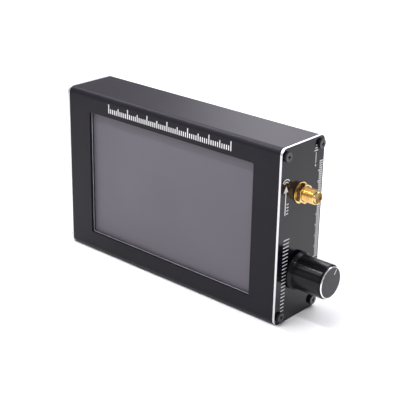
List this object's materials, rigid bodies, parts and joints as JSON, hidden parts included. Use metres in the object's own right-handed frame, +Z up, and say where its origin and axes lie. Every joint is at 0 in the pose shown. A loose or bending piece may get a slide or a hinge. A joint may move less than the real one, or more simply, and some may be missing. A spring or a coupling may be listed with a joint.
{
  "type": "spectrum analyzer",
  "caption": "Pocket spectrum analyzer: flat black aluminium case with a touch display, a push-button turning knob and a coaxial antenna jack on its right end.",
  "frame": {"origin": "middle of the case's bottom face, halfway between the outer faces of its two end panels", "axes": "+X along the case towards the end with the knob, +Y out of the back (the display faces -Y), +Z up"},
  "size_m": [0.1484, 0.029, 0.08],
  "materials": {
    "case_black": "satin black anodised",
    "panel_black": "satin black anodised, bare bright rim",
    "knob_black": "polished black anodised, bare turned chamfer",
    "screw_black": "black oxide",
    "steel": "plain",
    "brass": "plain",
    "gold": "gold plated",
    "white_plastic": "satin",
    "black_plastic": "satin",
    "display_grey": "anti-glare matt grey film",
    "display_glass": "polished",
    "light_guide": "diffusing white",
    "circuit_board": "green solder mask",
    "ribbon_amber": "polyimide film",
    "foam_black": "matt",
    "cell_silver": "laminated foil",
    "lead_red": "satin",
    "clear_plastic": "polished clear"
  },
  "bodies": {
    "housing": {"case_sleeve": "case_black", "right_end_panel": "panel_black", "left_end_panel": "panel_black", "right_panel_screw_1": "screw_black", "left_panel_screw_1": "screw_black", "standoff_1": "brass", "board_screw_1": "steel", "right_panel_screw_2": "screw_black", "left_panel_screw_2": "screw_black", "standoff_2": "brass", "board_screw_2": "steel", "right_panel_screw_3": "screw_black", "left_panel_screw_3": "screw_black", "standoff_3": "brass", "board_screw_3": "steel", "right_panel_screw_4": "screw_black", "left_panel_screw_4": "screw_black", "standoff_4": "brass", "board_screw_4": "steel", "window_gasket": "foam_black", "touch_panel": "display_grey", "display_glass": "display_glass", "display_backlight": "light_guide", "display_frame": "steel", "display_carrier_board": "circuit_board", "display_ribbon": "ribbon_amber", "display_ribbon_socket": "white_plastic", "board_ribbon_socket": "white_plastic", "main_board": "circuit_board", "rf_shield": "steel", "synthesizer_chip": "black_plastic", "mixer_chip": "black_plastic", "processor_chip": "black_plastic", "battery_cell": "cell_silver", "battery_pad": "foam_black", "battery_plug": "white_plastic", "battery_lead_positive": "lead_red", "battery_lead_negative": "black_plastic", "usb_socket": "steel", "usb_tongue": "black_plastic", "charge_light_pipe": "clear_plastic", "charge_led": "white_plastic", "power_switch_body": "steel", "jack_body": "gold", "jack_insulator": "white_plastic", "jack_contact": "gold", "jack_washer": "gold", "jack_nut": "gold", "encoder_bushing": "steel", "encoder_base": "black_plastic", "encoder_dome": "steel", "encoder_washer": "steel", "encoder_nut": "steel"},
    "rotor": {"encoder_rotor": "white_plastic"},
    "knob": {"encoder_shaft": "steel", "knob_shell": "knob_black", "knob_core": "black_plastic"},
    "switch_lever": {"power_switch_lever": "black_plastic"}
  },
  "joints": [
    {"name": "knob_turn", "type": "hinge", "parent": "housing", "child": "rotor", "pos_m": [0.064, -0.001, 0.0224], "axis": [1, 0, 0], "continuous": true},
    {"name": "knob_press", "type": "slide", "parent": "rotor", "child": "knob", "axis": [-1, 0, 0], "range_m": [0, 0.0005], "stiffness_N_per_m": 1000, "springref_m": -0.002},
    {"name": "power_switch_slide", "type": "slide", "parent": "housing", "child": "switch_lever", "axis": [0, 0, 1], "range_m": [0, 0.002]}
  ]
}
